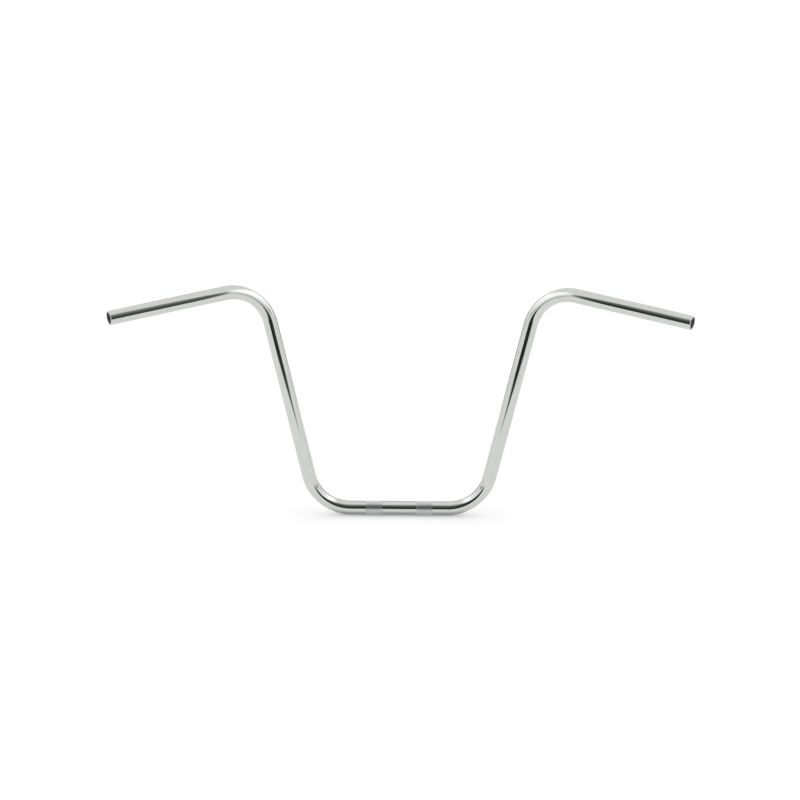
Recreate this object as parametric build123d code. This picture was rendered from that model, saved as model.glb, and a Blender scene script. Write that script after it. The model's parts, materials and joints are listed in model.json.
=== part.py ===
from build123d import *
import os
from math import cos, pi, radians, sin

# Ape hanger handlebar: one steel tube, bent twice on each side and plated all over.
# Millimetres and degrees. The origin is the middle of the base, on the tube's axis.
# +X runs along the base to the right, +Z is up, and the grips come back towards the rider, along -Y.

# Tube
tube_diameter = 22.2
tube_wall = 2.0

# Straight runs, each measured between the bends at its ends, or to the tube's end
base_length = 154.0
upright_length = 258.0
grip_length = 192.0

# Bends, all made on one former; the radius is to the tube's axis
bend_radius = 68.0
upright_lean = 13.5
grip_sweep = 26.5
grip_droop = 6.0

# A bent tube flattens in the plane of its bend and swells a little square to it.
# Both are shares of the diameter, reached at the middle of the bend.
bend_flattening = 0.07
bend_swelling = 0.02
bend_stations = 12

# Knurled bands on the base, where the risers clamp; the rise is to the knurl's crests
band_spacing = 80.0
band_width = 26.0
band_rise = 0.25
band_ramp = 0.6

# Broken edges of the two cut ends
outer_edge_break = 0.5
inner_edge_break = 0.4

tube_radius = tube_diameter / 2
along_base = Vector(1, 0, 0)
along_upright = Vector(sin(radians(upright_lean)), 0, cos(radians(upright_lean)))
along_grip = Vector(
    cos(radians(grip_droop)) * cos(radians(grip_sweep)),
    -cos(radians(grip_droop)) * sin(radians(grip_sweep)),
    -sin(radians(grip_droop)),
)


def straight(start, direction, length, inset):
    """A straight run of the tube, solid, with its surface the inset inside the tube's outside."""
    return extrude(Plane(start, z_dir=direction) * Circle(tube_radius - inset), length)


def bend(start, inward_run, outward_run, inset):
    """A bend between two directions, solid, and the point where the next straight run begins.

    The section is round where it meets the straight runs and flattest halfway round.
    """
    square_to_bend = inward_run.cross(outward_run).normalized()
    to_centre = square_to_bend.cross(inward_run)
    centre = start + to_centre * bend_radius
    turn = inward_run.get_angle(outward_run)
    first_section = Plane(start, x_dir=square_to_bend, z_dir=inward_run)
    sections = []
    for station in range(bend_stations + 1):
        progress = station / bend_stations
        strain = sin(pi * progress) ** 2
        swollen = tube_radius * (1 + bend_swelling * strain) - inset
        flattened = tube_radius * (1 - bend_flattening * strain) - inset
        section = first_section * Ellipse(swollen, flattened)
        sections.append(section.rotate(Axis(centre, square_to_bend), turn * progress))
    way_round = inward_run * sin(radians(turn)) - to_centre * cos(radians(turn))
    return loft(sections), centre + way_round * bend_radius


def right_arm(inset):
    """The right side from the end of the base to the open end: bend, upright, bend and grip."""
    lower_bend, upright_foot = bend(along_base * (base_length / 2), along_base, along_upright, inset)
    upright = straight(upright_foot, along_upright, upright_length, inset)
    upright_head = upright_foot + along_upright * upright_length
    upper_bend, grip_root = bend(upright_head, along_upright, along_grip, inset)
    grip = straight(grip_root, along_grip, grip_length, inset)
    return lower_bend + upright + upper_bend + grip


def bent_bar(inset):
    """The whole bent shape, solid: the base with an arm at each end, the left one mirrored."""
    base = straight(along_base * (-base_length / 2), along_base, base_length, inset)
    arm = right_arm(inset)
    return base + arm + mirror(arm, about=Plane.YZ)


def knurled_band(middle):
    """One clamp band: a low collar as high as the knurl's crests, ramped down to the tube at both ends."""
    half_width = band_width / 2
    crest_radius = tube_radius + band_rise
    outline = Polyline(
        (middle - half_width, 0),
        (middle - half_width, tube_radius),
        (middle - half_width + band_ramp, crest_radius),
        (middle + half_width - band_ramp, crest_radius),
        (middle + half_width, tube_radius),
        (middle + half_width, 0),
        close=True,
    )
    return revolve(make_face(outline), Axis.X)


def cut_ends(bar):
    """The two flat rings where the tube is cut off."""
    flats = bar.faces().filter_by(GeomType.PLANE).sort_by(Axis.X)
    return [flats[0], flats[-1]]


outside = bent_bar(0) + [knurled_band(side * band_spacing / 2) for side in (-1, 1)]
handlebar = outside - bent_bar(tube_wall)
handlebar = chamfer([ring.outer_wire().edge() for ring in cut_ends(handlebar)], outer_edge_break)
handlebar = chamfer([ring.inner_wires()[0].edge() for ring in cut_ends(handlebar)], inner_edge_break)

os.makedirs("parts", exist_ok=True)
export_step(handlebar, "parts/handlebar.step")
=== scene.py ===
"""Ape hanger handlebar: the bent, knurled and chromed tube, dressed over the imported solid."""
import json
from dataclasses import dataclass, field
from math import cos, pi, radians, sin

import bpy
from mathutils import Matrix, Quaternion, Vector


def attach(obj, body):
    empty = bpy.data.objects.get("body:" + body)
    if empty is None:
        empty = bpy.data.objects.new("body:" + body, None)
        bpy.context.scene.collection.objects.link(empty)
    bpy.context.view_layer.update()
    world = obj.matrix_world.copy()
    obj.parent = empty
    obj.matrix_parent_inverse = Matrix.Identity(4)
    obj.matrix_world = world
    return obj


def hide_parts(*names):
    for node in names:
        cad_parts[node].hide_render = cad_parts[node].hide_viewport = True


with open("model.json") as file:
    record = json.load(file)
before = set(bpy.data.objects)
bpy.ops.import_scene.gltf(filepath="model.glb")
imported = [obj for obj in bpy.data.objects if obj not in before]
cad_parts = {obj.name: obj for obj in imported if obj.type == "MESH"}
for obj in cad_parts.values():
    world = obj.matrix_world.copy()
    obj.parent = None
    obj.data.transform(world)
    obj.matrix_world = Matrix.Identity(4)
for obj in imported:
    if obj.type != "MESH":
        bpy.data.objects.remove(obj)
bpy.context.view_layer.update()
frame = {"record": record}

MM = 0.001

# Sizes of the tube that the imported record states
mounts = {mount["name"]: mount for mount in frame["record"]["mounts"]}
tube_radius = mounts["right_grip_seat"]["dims"]["r_mm"] * MM
bore_radius = mounts["right_bar_end"]["dims"]["r_mm"] * MM
crest_radius = mounts["riser_clamps"]["dims"]["r_mm"] * MM
along_grip = Vector(mounts["right_grip_seat"]["axis"])

# Straight runs and bends, the same as the solid's
base_length = 154 * MM
upright_length = 258 * MM
grip_length = 192 * MM
bend_radius = 68 * MM
upright_lean = radians(13.5)
bend_flattening = 0.07
bend_swelling = 0.02

# Directions: +X along the base to the right, +Z up, and the grips come back along -Y
along_base = Vector((1, 0, 0))
along_upright = Vector((sin(upright_lean), 0, cos(upright_lean)))

# Broken edges of the cut ends, and how far polishing has rounded them past their own width
outer_edge_break = 0.5 * MM
inner_edge_break = 0.4 * MM
edge_rounding = 0.15 * MM

# Knurled clamp bands: rolled diamonds with flat tops, longer along the bar than around it
band_spacing = 80 * MM
band_width = 26 * MM
band_start = (band_spacing - band_width) / 2
band_end = (band_spacing + band_width) / 2
knurl_pitch_around = 1.6 * MM
knurl_pitch_along = 2.75 * MM
knurl_depth = 0.25 * MM
knurl_flat_share = 0.72
knurls_around = round(2 * pi * tube_radius / knurl_pitch_around)
knurls_along = round(band_width / knurl_pitch_along)

# How finely the surface is drawn, with as many points to a ring of plain tube as to a row of the knurl
points_to_a_knurl = 4
ring_count = points_to_a_knurl * knurls_around
bend_steps = 48
straight_step = 12 * MM
bore_bend_steps = 16
bore_step = 48 * MM
edge_steps = 6
smooth_under = radians(25)

# A narrow margin beside the clamp bands and the cut ends keeps the plain tube evenly shaded up to them
edge_margin = 0.5 * MM

# The finishes, in the order of the mesh's material slots
PLATE, KNURL, BORE = range(3)

# The Mix node's sockets for colours, which share their names with its sockets for numbers
MIX_SHARE, MIX_FROM, MIX_TO, MIXED = 0, 6, 7, 2

# Noise keeps mostly between these values, which are spread to 0 and 1
noise_low = 0.3
noise_high = 0.7

# The camera, found by fitting the bar's outline to the photograph
camera_distance = 4.0
camera_pitch = radians(15.84)
camera_roll = radians(0.486)
camera_aim = Vector((0, 0, 0.1791))
camera_lens_mm = 114.2
camera_reach = 120.0

# The studio, in metres: a white tent on white paper, open towards the camera
white = "#FFFFFF"
paper_colour = "#E7E7E7"
floor_level = 1.04
floor_height = -crest_radius
floor_half_size = 30.0
card_lift = 0.5 * MM

# The tent's open front, closed in its low corners, and the unlit room that is seen through it
opening_distance = 0.98
opening_half_width = 0.78
opening_edge = 0.11
sill_half_width = 0.41
sill_edge = 0.03
sill_bottom = 0.02
sill_top = 0.09
room_left_colour = "#1A1E1B"
room_right_colour = "#434944"
room_dark_up_to = 0.1
room_light_from = 4.3
room_floor_from = 0.68

# A long lamp on each side. A pair says how far from its middle the light is full, and where it has run out
lamp_distance = 0.8
lamp_middle = (0.7, 1.12)
lamp_along = (1.4, 1.75)
lamp_up = (0.06, 0.88)
left_lamp_level = 1.58
right_lamp_level = 1.66

# A dark flag far out on each side, with such pairs, which gives the far grip a dark line from behind
flag_colour = "#4A4C4B"
flag_distance = 2.5
flag_middle = (-0.9, 0.66)
flag_along = (0.35, 0.6)
flag_up = (0.09, 0.16)

# A grey cloth hung behind the bar, with such pairs from the middle of the base
cloth_colour = "#AAAAAA"
cloth_distance = 1.2
cloth_across = (1.0, 1.5)
cloth_up = (0.35, 1.1)

# A painted shadow: a grey strip on the paper close under the base, seen only in the chrome, with such pairs
# from the middle of the base
painted_shadow_colour = "#A9ABAA"
strip_across = (0.08, 0.12)
strip_deep = (0.007, 0.022)


@dataclass
class Station:
    """One place on the tube's axis, and how the tube lies there."""

    place: Vector
    turned: Quaternion  # from the direction of the base to the tube's own
    square: Vector  # square to the plane that the tube bends in
    strain: float  # 0 on straight tube, 1 in the middle of a bend
    along: float  # how far from the middle of the unbent tube

    def ahead(self, distance):
        """The station that far ahead on straight tube."""
        step = self.turned @ along_base * distance
        return Station(self.place + step, self.turned, self.square, 0.0, self.along + distance)


base_middle = Station(Vector(), Quaternion(), Vector((0, 1, 0)), 0.0, 0.0)


@dataclass
class Skin:
    """The bar's surface while it is made: its points, where each lay on the unbent tube, and its faces."""

    points: list = field(default_factory=list)
    unbent: list = field(default_factory=list)
    heights: list = field(default_factory=list)
    faces: list = field(default_factory=list)
    finishes: list = field(default_factory=list)

    def point(self, station, turn, radius, height=1.0):
        """A new point at a share of a turn round the station, with height 1 on a crest and 0 in a groove."""
        angle = 2 * pi * turn
        round_about = Vector((0, cos(angle), sin(angle)))
        outward = station.turned @ round_about
        flattened = radius - tube_radius * bend_flattening * station.strain
        swollen = radius + tube_radius * bend_swelling * station.strain
        sideways = station.square * outward.dot(station.square)
        self.points.append(station.place + outward * flattened + sideways * (swollen - flattened))
        self.unbent.append(along_base * station.along + round_about * radius)
        self.heights.append(height)
        return len(self.points) - 1

    def ring(self, station, radius):
        """A ring of new points, evenly spaced."""
        return [self.point(station, number / ring_count, radius) for number in range(ring_count)]

    def cover(self, finish, *faces):
        """Adds faces of one finish."""
        self.faces += faces
        self.finishes += [finish] * len(faces)

    def lay(self, rings, finish):
        """Covers the surface from each ring to the next."""
        for near, far in zip(rings, rings[1:]):
            for here in range(ring_count):
                onward = (here + 1) % ring_count
                self.cover(finish, (near[here], near[onward], far[onward], far[here]))


def straight_from(start, length, step):
    """Stations over a straight run, about a step apart, without its start."""
    count = max(1, round(length / step))
    return [start.ahead(length * number / count) for number in range(1, count + 1)]


def bend_from(start, onward, steps):
    """Stations round a bend, up to the one where the next straight run begins."""
    inward = start.turned @ along_base
    square = inward.cross(onward).normalized()
    turn = inward.angle(onward)
    centre = start.place + square.cross(inward) * bend_radius
    stations = []
    for step in range(1, steps + 1):
        progress = step / steps
        swing = Quaternion(square, turn * progress)
        place = centre + swing @ (start.place - centre)
        along = start.along + bend_radius * turn * progress
        stations.append(Station(place, swing @ start.turned, square, sin(pi * progress) ** 2, along))
    return stations


def arm_stations(steps, step):
    """Stations of the right side from the clamp band to the cut end: base, bend, upright, bend and grip."""
    beside_band = base_middle.ahead(band_end + edge_margin)
    stations = [beside_band] + straight_from(beside_band, base_length / 2 - beside_band.along, step)
    stations += bend_from(stations[-1], along_upright, steps)
    stations += straight_from(stations[-1], upright_length, step)
    stations += bend_from(stations[-1], along_grip, steps)
    stations += straight_from(stations[-1], grip_length, step)
    return stations


def clamp_band(skin):
    """The right clamp band: rows of flat-topped diamonds between crossing grooves.

    A row holds the diamonds that are widest there, and every second row is shifted by half a diamond.
    The first and last rows lie flush with the plain tube. It gives the rings of points along these two.
    """
    last_row = 2 * knurls_along
    rows = range(last_row + 1)
    row_step = band_width / last_row
    start = base_middle.ahead(band_start)
    crossings, lefts, middles, rights = ([[] for _ in rows] for _ in range(points_to_a_knurl))
    for row in rows:
        shift = row % 2
        station = start.ahead(row_step * row)
        flush = row in (0, last_row)
        top = tube_radius if flush else crest_radius
        bottom = tube_radius if flush else crest_radius - knurl_depth
        for diamond in range(knurls_around):
            left_corner = diamond + shift / 2
            crossings[row].append(skin.point(station, left_corner / knurls_around, bottom, 0.0))
            for points, aside in ((lefts, -1), (middles, 0), (rights, 1)):
                place = left_corner + (1 + aside * knurl_flat_share) / 2
                points[row].append(skin.point(station, place / knurls_around, top))
    for row in rows:
        shift = row % 2
        for diamond in range(knurls_around):
            left, middle, right = lefts[row][diamond], middles[row][diamond], rights[row][diamond]
            left_crossing = crossings[row][diamond]
            right_crossing = crossings[row][(diamond + 1) % knurls_around]
            for way in (1, -1):
                if row + way not in rows:
                    continue
                far_crossing = crossings[row + way][(diamond + shift) % knurls_around]
                station = start.ahead(row_step * (row + way * knurl_flat_share))
                tip = skin.point(station, (diamond + (shift + 1) / 2) / knurls_around, crest_radius)
                flat_top = (middle, right, tip), (middle, tip, left)
                flanks = (right, right_crossing, far_crossing, tip), (tip, far_crossing, left_crossing, left)
                skin.cover(KNURL, *(face[::way] for face in flat_top + flanks))
    edges = []
    for row in (0, last_row):
        in_order = zip(crossings[row], lefts[row], middles[row], rights[row])
        edges.append([number for diamond in in_order for number in diamond])
    return edges


def bezier(controls, share):
    """A point on the curve that four control points draw."""
    back = 1 - share
    weights = (back ** 3, 3 * back ** 2 * share, 3 * back * share ** 2, share ** 3)
    return sum((Vector(control) * weight for control, weight in zip(controls, weights)), Vector((0, 0)))


def cut_end(skin, tip):
    """Rings over the cut end, from the outside to the bore, with both broken edges polished round."""
    outer = (
        (tube_radius, -outer_edge_break - edge_rounding),
        (tube_radius, -outer_edge_break),
        (tube_radius - outer_edge_break, 0),
        (tube_radius - outer_edge_break - edge_rounding, 0),
    )
    inner = (
        (bore_radius + inner_edge_break + edge_rounding, 0),
        (bore_radius + inner_edge_break, 0),
        (bore_radius, -inner_edge_break),
        (bore_radius, -inner_edge_break - edge_rounding),
    )
    profile = [(tube_radius, outer[0][1] - edge_margin)]
    for curve in (outer, inner):
        profile += [bezier(curve, step / edge_steps) for step in range(edge_steps + 1)]
    profile += [(bore_radius, inner[-1][1] - edge_margin)]
    return [skin.ring(tip.ahead(distance), radius) for radius, distance in profile]


def right_half(skin):
    """Covers the right half: out along the outside, over the cut end and back along the bore.

    It gives the two rings in the middle of the bar, where the left half joins on.
    """
    near_edge, far_edge = clamp_band(skin)
    base = [base_middle] + straight_from(base_middle, band_start - edge_margin, straight_step)
    base_rings = [skin.ring(station, tube_radius) for station in base]
    skin.lay(base_rings + [near_edge], PLATE)
    arm = arm_stations(bend_steps, straight_step)
    arm_rings = [far_edge] + [skin.ring(station, tube_radius) for station in arm[:-1]]
    arm_rings += cut_end(skin, arm[-1])
    skin.lay(arm_rings, PLATE)
    bore = [base_middle] + arm_stations(bore_bend_steps, bore_step)[:-1]
    bore_rings = [arm_rings[-1]] + [skin.ring(station, bore_radius) for station in reversed(bore)]
    skin.lay(bore_rings, BORE)
    return base_rings[0], bore_rings[-1]


def add_left_half(skin, middle_rings):
    """Adds the mirror image of the right half, joined to it along the middle rings."""
    to_left = Vector((-1, 1, 1))
    shared = {number for ring in middle_rings for number in ring}
    twins = []
    for number in range(len(skin.points)):
        if number in shared:
            twins.append(number)
            continue
        twins.append(len(skin.points))
        skin.points.append(skin.points[number] * to_left)
        skin.unbent.append(skin.unbent[number] * to_left)
        skin.heights.append(skin.heights[number])
    for face, finish in list(zip(skin.faces, skin.finishes)):
        skin.cover(finish, tuple(twins[number] for number in reversed(face)))


def tube_mesh():
    """The whole bar as one closed mesh."""
    skin = Skin()
    add_left_half(skin, right_half(skin))
    mesh = bpy.data.meshes.new("handlebar_tube")
    mesh.from_pydata(skin.points, [], skin.faces)
    unbent = mesh.attributes.new("unbent", "FLOAT_VECTOR", "POINT")
    unbent.data.foreach_set("vector", [number for point in skin.unbent for number in point])
    heights = mesh.attributes.new("knurl_height", "FLOAT", "POINT")
    heights.data.foreach_set("value", skin.heights)
    mesh.polygons.foreach_set("material_index", skin.finishes)
    mesh.polygons.foreach_set("use_smooth", [True] * len(skin.faces))
    mesh.set_sharp_from_angle(angle=smooth_under)
    mesh.validate()
    mesh.update()
    return mesh


def linear(hex_colour):
    """An sRGB colour written as hex, as the linear colour that a shader takes, by the sRGB standard."""
    parts = [int(hex_colour[start:start + 2], 16) / 255 for start in (1, 3, 5)]
    return [part / 12.92 if part <= 0.04045 else ((part + 0.055) / 1.055) ** 2.4 for part in parts] + [1.0]


def add_node(tree, kind, inputs=None, **settings):
    """Adds a node with its settings. An input takes a value, or a node or socket that is linked to it."""
    node = tree.nodes.new(kind)
    for name, value in settings.items():
        setattr(node, name, value)
    for name, value in (inputs or {}).items():
        if isinstance(value, bpy.types.Node):
            value = value.outputs[0]
        if isinstance(value, bpy.types.NodeSocket):
            tree.links.new(value, node.inputs[name])
        else:
            node.inputs[name].default_value = value
    return node


def new_material(name):
    """An empty node material and its tree."""
    material = bpy.data.materials.new(name)
    material.use_nodes = True
    material.node_tree.nodes.clear()
    return material, material.node_tree


def grain(tree, along, across, detail=2.0):
    """Noise from 0 to 1 on the tube as it was before bending, with grains of a real length and width."""
    unbent = add_node(tree, "ShaderNodeAttribute", attribute_name="unbent")
    stretched = add_node(tree, "ShaderNodeVectorMath", {
        0: unbent.outputs["Vector"], 1: (1 / along, 1 / across, 1 / across)}, operation="MULTIPLY")
    noise = add_node(tree, "ShaderNodeTexNoise", {"Vector": stretched, "Scale": 1.0, "Detail": detail})
    return add_node(tree, "ShaderNodeMapRange", {
        "Value": noise, "From Min": noise_low, "From Max": noise_high})


def finish_metal(tree, colour, roughness, relief):
    """Ends a metal's tree.

    Its colour and its roughness are each a pattern from 0 to 1 and the two values that it runs between.
    Its relief is a pattern, the height that it raises the surface by, and a strength.
    """
    clouds, first_colour, second_colour = colour
    dulling, first_roughness, second_roughness = roughness
    raising, height, strength = relief
    mixed = add_node(tree, "ShaderNodeMix", {
        MIX_SHARE: clouds, MIX_FROM: linear(first_colour), MIX_TO: linear(second_colour)}, data_type="RGBA")
    dulled = add_node(tree, "ShaderNodeMapRange", {
        "Value": dulling, "To Min": first_roughness, "To Max": second_roughness})
    raised = add_node(tree, "ShaderNodeBump", {"Strength": strength, "Distance": height, "Height": raising})
    shader = add_node(tree, "ShaderNodeBsdfPrincipled", {
        "Base Color": mixed.outputs[MIXED], "Metallic": 1.0, "Roughness": dulled, "Normal": raised})
    add_node(tree, "ShaderNodeOutputMaterial", {"Surface": shader})


def bright_chrome_plate():
    """Bright chrome over polished tube: a cool mirror, with faint clouding and the polisher's fine lines."""
    material, tree = new_material("bright_chrome_plate")
    clouding = grain(tree, along=40 * MM, across=12 * MM)
    # polishing lines are about 0.1 mm apart; they are drawn 1.5 mm apart, so that they show
    lines = grain(tree, along=60 * MM, across=1.5 * MM, detail=3.0)
    waviness = grain(tree, along=30 * MM, across=8 * MM)
    finish_metal(
        tree,
        colour=(clouding, "#CED1CE", "#C9CCC9"),
        roughness=(lines, 0.03, 0.08),
        relief=(waviness, 0.01 * MM, 0.25),
    )
    return material


def knurled_chrome_plate():
    """Chrome over rolled knurl: the same metal, satin on the flat tops and duller in the grooves."""
    material, tree = new_material("knurled_chrome_plate")
    height = add_node(tree, "ShaderNodeAttribute", attribute_name="knurl_height").outputs["Fac"]
    # the satin's grit is about 0.05 mm; it is drawn 0.4 mm wide, so that it shows
    grit = grain(tree, along=0.4 * MM, across=0.4 * MM)
    finish_metal(
        tree,
        colour=(height, "#BFC0BF", "#D2D4D3"),
        roughness=(height, 0.4, 0.22),
        relief=(grit, 0.01 * MM, 0.3),
    )
    return material


def bare_drawn_steel():
    """Bare drawn steel inside the tube, where no plate reaches: dull and grey, with long draw marks."""
    material, tree = new_material("bare_drawn_steel")
    # draw marks are about 0.2 mm wide; they are drawn 0.8 mm wide, so that they show
    draw_marks = grain(tree, along=25 * MM, across=0.8 * MM, detail=3.0)
    finish_metal(
        tree,
        colour=(draw_marks, "#8E8D89", "#A5A4A0"),
        roughness=(draw_marks, 0.55, 0.75),
        relief=(draw_marks, 0.05 * MM, 0.4),
    )
    return material


def put_in_scene(name, mesh, materials):
    """A new object of that mesh, with those materials in their slots."""
    piece = bpy.data.objects.new(name, mesh)
    bpy.context.scene.collection.objects.link(piece)
    for material in materials:
        mesh.materials.append(material)
    return piece


def handlebar_tube():
    """The bar itself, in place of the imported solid."""
    finishes = [bright_chrome_plate(), knurled_chrome_plate(), bare_drawn_steel()]
    piece = put_in_scene("handlebar_tube", tube_mesh(), finishes)
    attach(piece, "root")
    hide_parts("handlebar")


def white_paper():
    """White paper: it shows as white, mostly by the light that falls on it, so that it takes a shadow."""
    material, tree = new_material("white_paper")
    colour = linear(paper_colour)
    path = add_node(tree, "ShaderNodeLightPath")
    seen = path.outputs["Is Camera Ray"]
    for kind in ("Is Glossy Ray", "Is Transmission Ray"):
        seen = add_node(tree, "ShaderNodeMath", {0: seen, 1: path.outputs[kind]}, operation="MAXIMUM")
    glow = add_node(tree, "ShaderNodeMath", {0: seen, 1: floor_level - colour[0]}, operation="MULTIPLY")
    paper = add_node(tree, "ShaderNodeBsdfDiffuse", {"Color": colour})
    light = add_node(tree, "ShaderNodeEmission", {"Strength": glow})
    both = add_node(tree, "ShaderNodeAddShader", {0: paper, 1: light})
    add_node(tree, "ShaderNodeOutputMaterial", {"Surface": both})
    return material


def fading_light(name, colour, fades, level=1.0):
    """A light or a shade that runs out on each axis, from where it is full to where none of it is left."""
    material, tree = new_material(name)
    place = add_node(tree, "ShaderNodeTexCoord")
    axes = add_node(tree, "ShaderNodeSeparateXYZ", {0: place.outputs["Object"]})
    share = 1.0
    for axis, (full, run_out) in fades.items():
        away = add_node(tree, "ShaderNodeMath", {0: axes.outputs[axis]}, operation="ABSOLUTE")
        fade = add_node(tree, "ShaderNodeMapRange", {
            "Value": away, "From Min": run_out, "From Max": full}, interpolation_type="SMOOTHSTEP")
        share = add_node(tree, "ShaderNodeMath", {0: fade, 1: share}, operation="MULTIPLY")
    light = add_node(tree, "ShaderNodeEmission", {"Color": linear(colour), "Strength": level})
    clear = add_node(tree, "ShaderNodeBsdfTransparent")
    both = add_node(tree, "ShaderNodeMixShader", {0: share, 1: clear, 2: light})
    add_node(tree, "ShaderNodeOutputMaterial", {"Surface": both})
    return material


def unlit_room():
    """The unlit room in front of the tent: darkest low down, and as light as the tent near its ceiling.

    Low down it shows only in the middle, and its floor darkens towards the opening.
    """
    material, tree = new_material("unlit_room")
    place = add_node(tree, "ShaderNodeTexCoord")
    axes = add_node(tree, "ShaderNodeSeparateXYZ", {0: place.outputs["Object"]})
    aside = add_node(tree, "ShaderNodeMath", {0: axes.outputs["X"]}, operation="ABSOLUTE")
    shares = {}
    for name, value, none, full in (
            ("in opening", aside, opening_half_width, opening_half_width - opening_edge),
            ("in middle", aside, sill_half_width + sill_edge, sill_half_width),
            ("above sill", axes.outputs["Z"], sill_bottom, sill_top),
            ("below ceiling", axes.outputs["Z"], room_light_from, room_dark_up_to),
            ("past tent floor", axes.outputs["Y"], -room_floor_from, -opening_distance),
            ("rightward", axes.outputs["X"], -opening_half_width, opening_half_width)):
        shares[name] = add_node(tree, "ShaderNodeMapRange", {
            "Value": value, "From Min": none, "From Max": full}, interpolation_type="SMOOTHSTEP")
    share = add_node(tree, "ShaderNodeMath", {
        0: shares["in opening"], 1: shares["above sill"]}, operation="MULTIPLY")
    share = add_node(tree, "ShaderNodeMath", {0: share, 1: shares["in middle"]}, operation="MAXIMUM")
    for name in ("below ceiling", "past tent floor"):
        share = add_node(tree, "ShaderNodeMath", {0: share, 1: shares[name]}, operation="MULTIPLY")
    dark = add_node(tree, "ShaderNodeMix", {
        MIX_SHARE: shares["rightward"],
        MIX_FROM: linear(room_left_colour),
        MIX_TO: linear(room_right_colour)}, data_type="RGBA")
    shade = add_node(tree, "ShaderNodeMix", {
        MIX_SHARE: share, MIX_FROM: linear(white), MIX_TO: dark.outputs[MIXED]}, data_type="RGBA")
    light = add_node(tree, "ShaderNodeEmission", {"Color": shade.outputs[MIXED]})
    add_node(tree, "ShaderNodeOutputMaterial", {"Surface": light})
    return material


def card(name, corners, material):
    """A flat card of the studio."""
    mesh = bpy.data.meshes.new(name)
    mesh.from_pydata(corners, [], [range(len(corners))])
    piece = put_in_scene(name, mesh, [material])
    return piece


def mirrored_card(name, corners, material):
    """A card that is seen in the chrome alone: it throws no light or shade, and hides nothing."""
    piece = card(name, corners, material)
    piece.visible_camera = False
    piece.visible_diffuse = False
    piece.visible_shadow = False
    piece.visible_transmission = False
    piece.visible_volume_scatter = False
    return piece


def lying(half_width, near, far, height):
    """Corners of a card that lies level."""
    return [(-half_width, near, height), (half_width, near, height),
            (half_width, far, height), (-half_width, far, height)]


def standing(half_width, depth, bottom, top):
    """Corners of a card that stands in front of the bar or behind it."""
    return [(-half_width, depth, bottom), (half_width, depth, bottom),
            (half_width, depth, top), (-half_width, depth, top)]


def paper_floor():
    """The white paper that the bar stands on."""
    card("floor", lying(floor_half_size, -floor_half_size, floor_half_size, floor_height), white_paper())


def open_front():
    """The tent's open front, and the floor of the room that is seen through it."""
    room = unlit_room()
    front = standing(opening_half_width, -opening_distance, floor_height, room_light_from)
    mirrored_card("open_front", front, room)
    room_half_width = sill_half_width + sill_edge
    room_floor = lying(room_half_width, -opening_distance, -room_floor_from, floor_height + card_lift)
    mirrored_card("room_floor", room_floor, room)


def side_card(name, aside, middle, along, up, colour, level=1.0):
    """A card that stands on one side of the bar and fades out along its length and its height."""
    long, high = along[1], up[1]
    corners = [(0, -long, -high), (0, long, -high), (0, long, high), (0, -long, high)]
    light = fading_light(name, colour, {"Y": along, "Z": up}, level)
    mirrored_card(name, corners, light).location = (aside, *middle)


def side_lamps():
    """The two long lamps, one on each side."""
    for name, aside, level in (
            ("left_lamp", -lamp_distance, left_lamp_level),
            ("right_lamp", lamp_distance, right_lamp_level)):
        side_card(name, aside, lamp_middle, lamp_along, lamp_up, white, level)


def side_flags():
    """The two dark flags, one far out on each side."""
    for name, aside in (("left_flag", -flag_distance), ("right_flag", flag_distance)):
        side_card(name, aside, flag_middle, flag_along, flag_up, flag_colour)


def cloth_behind():
    """The grey cloth that hangs behind the bar."""
    grey = fading_light("grey_cloth", cloth_colour, {"X": cloth_across, "Z": cloth_up})
    mirrored_card("cloth_behind", standing(cloth_across[1], cloth_distance, floor_height, cloth_up[1]), grey)


def painted_shadow_strip():
    """A painted shadow: a grey strip on the paper under the base, standing in for the base's shadow where
    the chrome above it mirrors it.
    """
    shaded = fading_light("painted_shadow_paper", painted_shadow_colour, {"X": strip_across, "Y": strip_deep})
    strip = lying(strip_across[1], -strip_deep[1], strip_deep[1], floor_height + card_lift)
    mirrored_card("painted_shadow_strip", strip, shaded)


def white_tent():
    """The white tent all round, which lights the bar evenly."""
    world = bpy.data.worlds.new("white_tent")
    world.use_nodes = True
    world.node_tree.nodes["Background"].inputs["Color"].default_value = linear(white)
    bpy.context.scene.world = world


def camera():
    """The camera, at the photograph's viewing angle."""
    data = bpy.data.cameras.new("camera")
    data.lens = camera_lens_mm
    data.clip_end = camera_reach
    eye = bpy.data.objects.new("camera", data)
    bpy.context.scene.collection.objects.link(eye)
    turned = Matrix.Rotation(pi / 2 - camera_pitch, 4, "X") @ Matrix.Rotation(camera_roll, 4, "Z")
    back = turned.col[2].to_3d() * camera_distance
    eye.matrix_world = Matrix.Translation(camera_aim + back) @ turned
    bpy.context.scene.camera = eye


handlebar_tube()
paper_floor()
open_front()
side_lamps()
side_flags()
cloth_behind()
painted_shadow_strip()
white_tent()
camera()
bpy.context.scene.view_settings.view_transform = "Standard"
